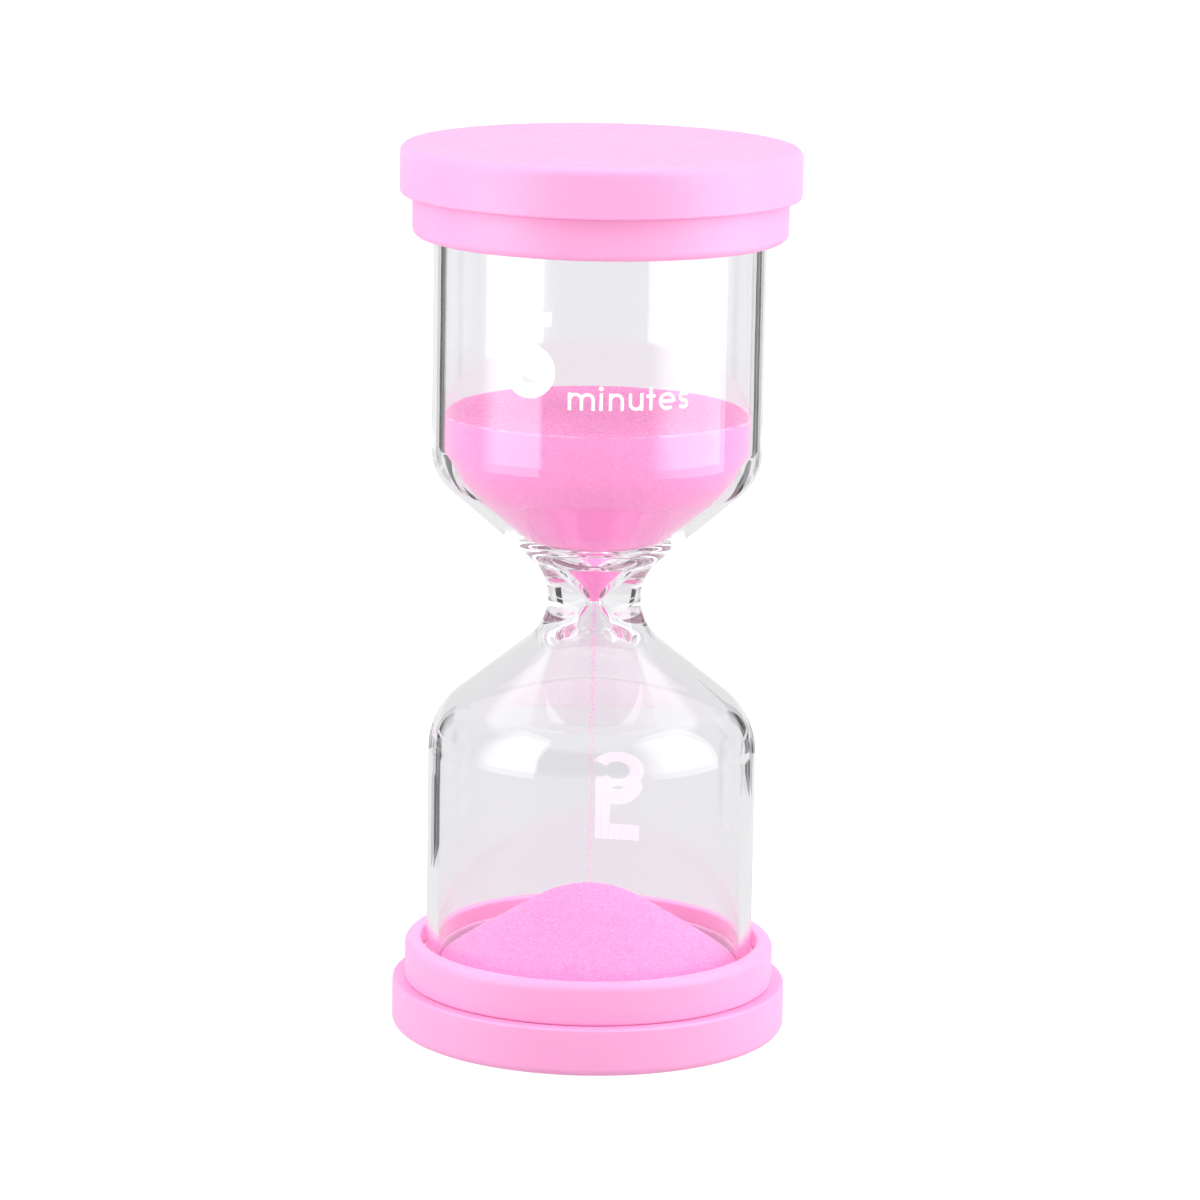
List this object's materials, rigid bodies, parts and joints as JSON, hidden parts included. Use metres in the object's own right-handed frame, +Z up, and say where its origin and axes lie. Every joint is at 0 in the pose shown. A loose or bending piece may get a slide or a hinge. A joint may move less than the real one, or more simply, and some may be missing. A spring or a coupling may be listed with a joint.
{
  "type": "hourglass sand timer",
  "caption": "Sand timer: a blown glass bulb with two chambers and a narrow neck, held between round stepped plastic caps, with sand heaped below and level above.",
  "frame": {"origin": "centre of the flat foot of the bottom cover", "axes": "+Z up along the timer's axis, -Y towards the printed front of the upper chamber, +X to the right seen from the front"},
  "size_m": [0.0444, 0.0444, 0.1],
  "materials": {
    "cap_plastic": "satin",
    "pad_foam": "matte",
    "clear_glue": "satin",
    "glass": "polished",
    "sand": "matte",
    "stopper": "matte",
    "white_ink": "satin"
  },
  "bodies": {
    "root": {"bottom_cover": "cap_plastic", "bottom_collar": "cap_plastic", "bottom_pad": "pad_foam", "bottom_glue_ring": "clear_glue", "glass_bulb": "glass", "sand_upper": "sand", "sand_stream": "sand", "sand_lower": "sand", "filler_plug": "stopper", "plug_seal": "clear_glue", "top_glue_ring": "clear_glue", "top_pad": "pad_foam", "top_collar": "cap_plastic", "top_cover": "cap_plastic", "front_print": "white_ink", "back_print": "white_ink"}
  },
  "joints": []
}
